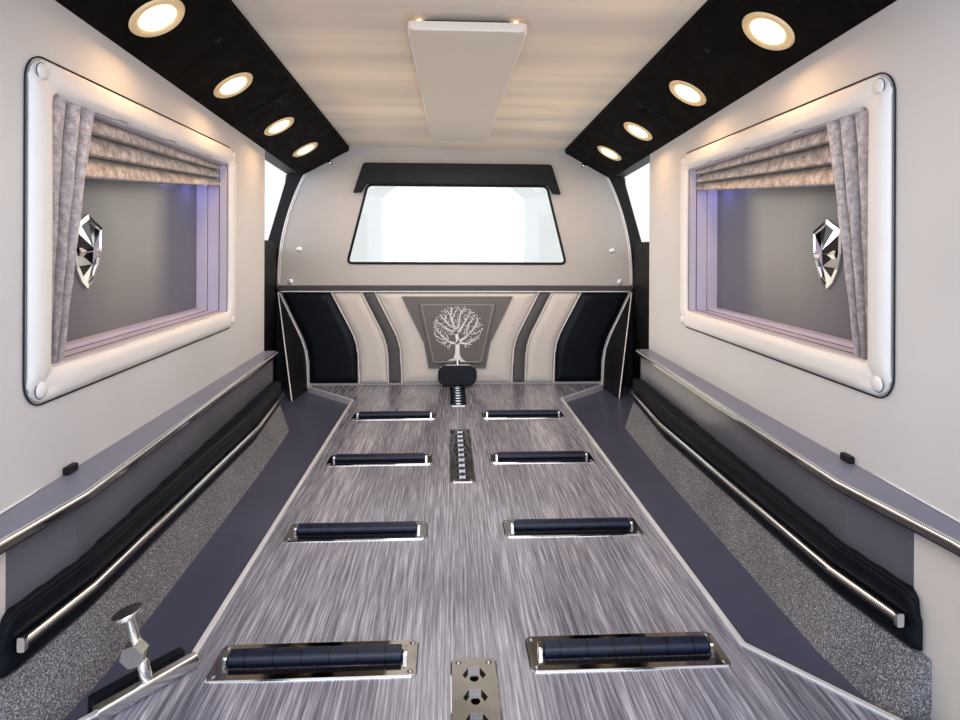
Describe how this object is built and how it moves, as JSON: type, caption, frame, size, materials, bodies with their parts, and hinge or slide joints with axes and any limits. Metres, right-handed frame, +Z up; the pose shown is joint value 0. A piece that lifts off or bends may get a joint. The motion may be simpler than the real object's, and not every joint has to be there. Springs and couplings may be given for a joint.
{
  "type": "hearse casket compartment",
  "caption": "Casket compartment of a hearse: roller deck with bier plates, trimmed walls with curtained windows, lamp valances, headliner and cab partition.",
  "frame": {"origin": "middle of the underside of the floor frame", "axes": "+Y forward to the cab partition, +X to the right side, +Z up"},
  "size_m": [1.6, 2.5217, 1.2428],
  "materials": {
    "cage_paint": "satin black paint on steel",
    "floor_vinyl": "smooth purple-grey vinyl",
    "deck_laminate": "grey laminate with fine lengthwise streaks",
    "bright_edge": "satin anodised edging",
    "chrome": "polished chrome",
    "black_rubber": "black rubber",
    "roller_rubber": "blue-black rubber",
    "ledge_laminate": "purple-grey laminate",
    "grey_vinyl": "grey vinyl",
    "cream_vinyl": "cream vinyl",
    "grey_carpet": "speckled grey carpet",
    "black_vinyl": "black padded vinyl",
    "lilac_paint": "lilac paint",
    "dark_panel": "dark purple-grey satin",
    "plush": "crushed grey plush",
    "black_leather": "black perforated leather",
    "lamp_glow": "warm white lens, lit",
    "headliner_cloth": "cream headliner cloth",
    "console_vinyl": "cream satin plastic",
    "glass": "clear",
    "black_plastic": "black moulded plastic",
    "plaque_vinyl": "dark grey vinyl"
  },
  "bodies": {
    "compartment": {"floor_sills": "cage_paint", "crossmembers": "cage_paint", "side_posts": "cage_paint", "cant_rails": "cage_paint", "roof_bows": "cage_paint", "floor_pan": "floor_vinyl", "deck_panel": "deck_laminate", "deck_edge_trims": "bright_edge", "roller_plates": "chrome", "bier_plates": "chrome", "bier_stop_post": "chrome", "bier_stop_pad": "black_rubber", "bier_clamp": "chrome", "bier_clamp_pad": "black_rubber", "ledges": "ledge_laminate", "ledge_trims": "chrome", "lower_panels": "grey_vinyl", "rear_lower_panels": "cream_vinyl", "carpet_risers": "grey_carpet", "bumper_pads": "black_vinyl", "bumper_rails": "chrome", "upper_walls": "cream_vinyl", "window_frames": "cream_vinyl", "window_boxes": "lilac_paint", "window_backs": "dark_panel", "curtains": "plush", "shields": "chrome", "valances": "black_leather", "lamps": "lamp_glow", "headliner": "headliner_cloth", "overhead_panel": "console_vinyl", "partition_panel": "cream_vinyl", "cab_window": "glass", "window_header": "black_plastic", "belt_strip": "grey_vinyl", "black_panels": "black_leather", "cream_panels": "cream_vinyl", "grey_stripes": "grey_vinyl", "tree_plaque": "plaque_vinyl", "corner_trims": "black_plastic", "rear_sill": "chrome"},
    "roller_right_1": {"roller_right_1": "roller_rubber"},
    "roller_left_1": {"roller_left_1": "roller_rubber"},
    "roller_right_2": {"roller_right_2": "roller_rubber"},
    "roller_left_2": {"roller_left_2": "roller_rubber"},
    "roller_right_3": {"roller_right_3": "roller_rubber"},
    "roller_left_3": {"roller_left_3": "roller_rubber"},
    "roller_right_4": {"roller_right_4": "roller_rubber"},
    "roller_left_4": {"roller_left_4": "roller_rubber"},
    "roller_right_5": {"roller_right_5": "roller_rubber"},
    "roller_left_5": {"roller_left_5": "roller_rubber"}
  },
  "joints": [
    {"name": "roller_right_1_spin", "type": "hinge", "parent": "compartment", "child": "roller_right_1", "pos_m": [0.219, -0.885, 0.1075], "axis": [1, 0, 0], "continuous": true},
    {"name": "roller_left_1_spin", "type": "hinge", "parent": "compartment", "child": "roller_left_1", "pos_m": [-0.219, -0.885, 0.1075], "axis": [1, 0, 0], "continuous": true},
    {"name": "roller_right_2_spin", "type": "hinge", "parent": "compartment", "child": "roller_right_2", "pos_m": [0.219, -0.491, 0.1075], "axis": [1, 0, 0], "continuous": true},
    {"name": "roller_left_2_spin", "type": "hinge", "parent": "compartment", "child": "roller_left_2", "pos_m": [-0.219, -0.491, 0.1075], "axis": [1, 0, 0], "continuous": true},
    {"name": "roller_right_3_spin", "type": "hinge", "parent": "compartment", "child": "roller_right_3", "pos_m": [0.219, -0.112, 0.1075], "axis": [1, 0, 0], "continuous": true},
    {"name": "roller_left_3_spin", "type": "hinge", "parent": "compartment", "child": "roller_left_3", "pos_m": [-0.219, -0.112, 0.1075], "axis": [1, 0, 0], "continuous": true},
    {"name": "roller_right_4_spin", "type": "hinge", "parent": "compartment", "child": "roller_right_4", "pos_m": [0.219, 0.294, 0.1075], "axis": [1, 0, 0], "continuous": true},
    {"name": "roller_left_4_spin", "type": "hinge", "parent": "compartment", "child": "roller_left_4", "pos_m": [-0.219, 0.294, 0.1075], "axis": [1, 0, 0], "continuous": true},
    {"name": "roller_right_5_spin", "type": "hinge", "parent": "compartment", "child": "roller_right_5", "pos_m": [0.219, 0.709, 0.1075], "axis": [1, 0, 0], "continuous": true},
    {"name": "roller_left_5_spin", "type": "hinge", "parent": "compartment", "child": "roller_left_5", "pos_m": [-0.219, 0.709, 0.1075], "axis": [1, 0, 0], "continuous": true}
  ]
}
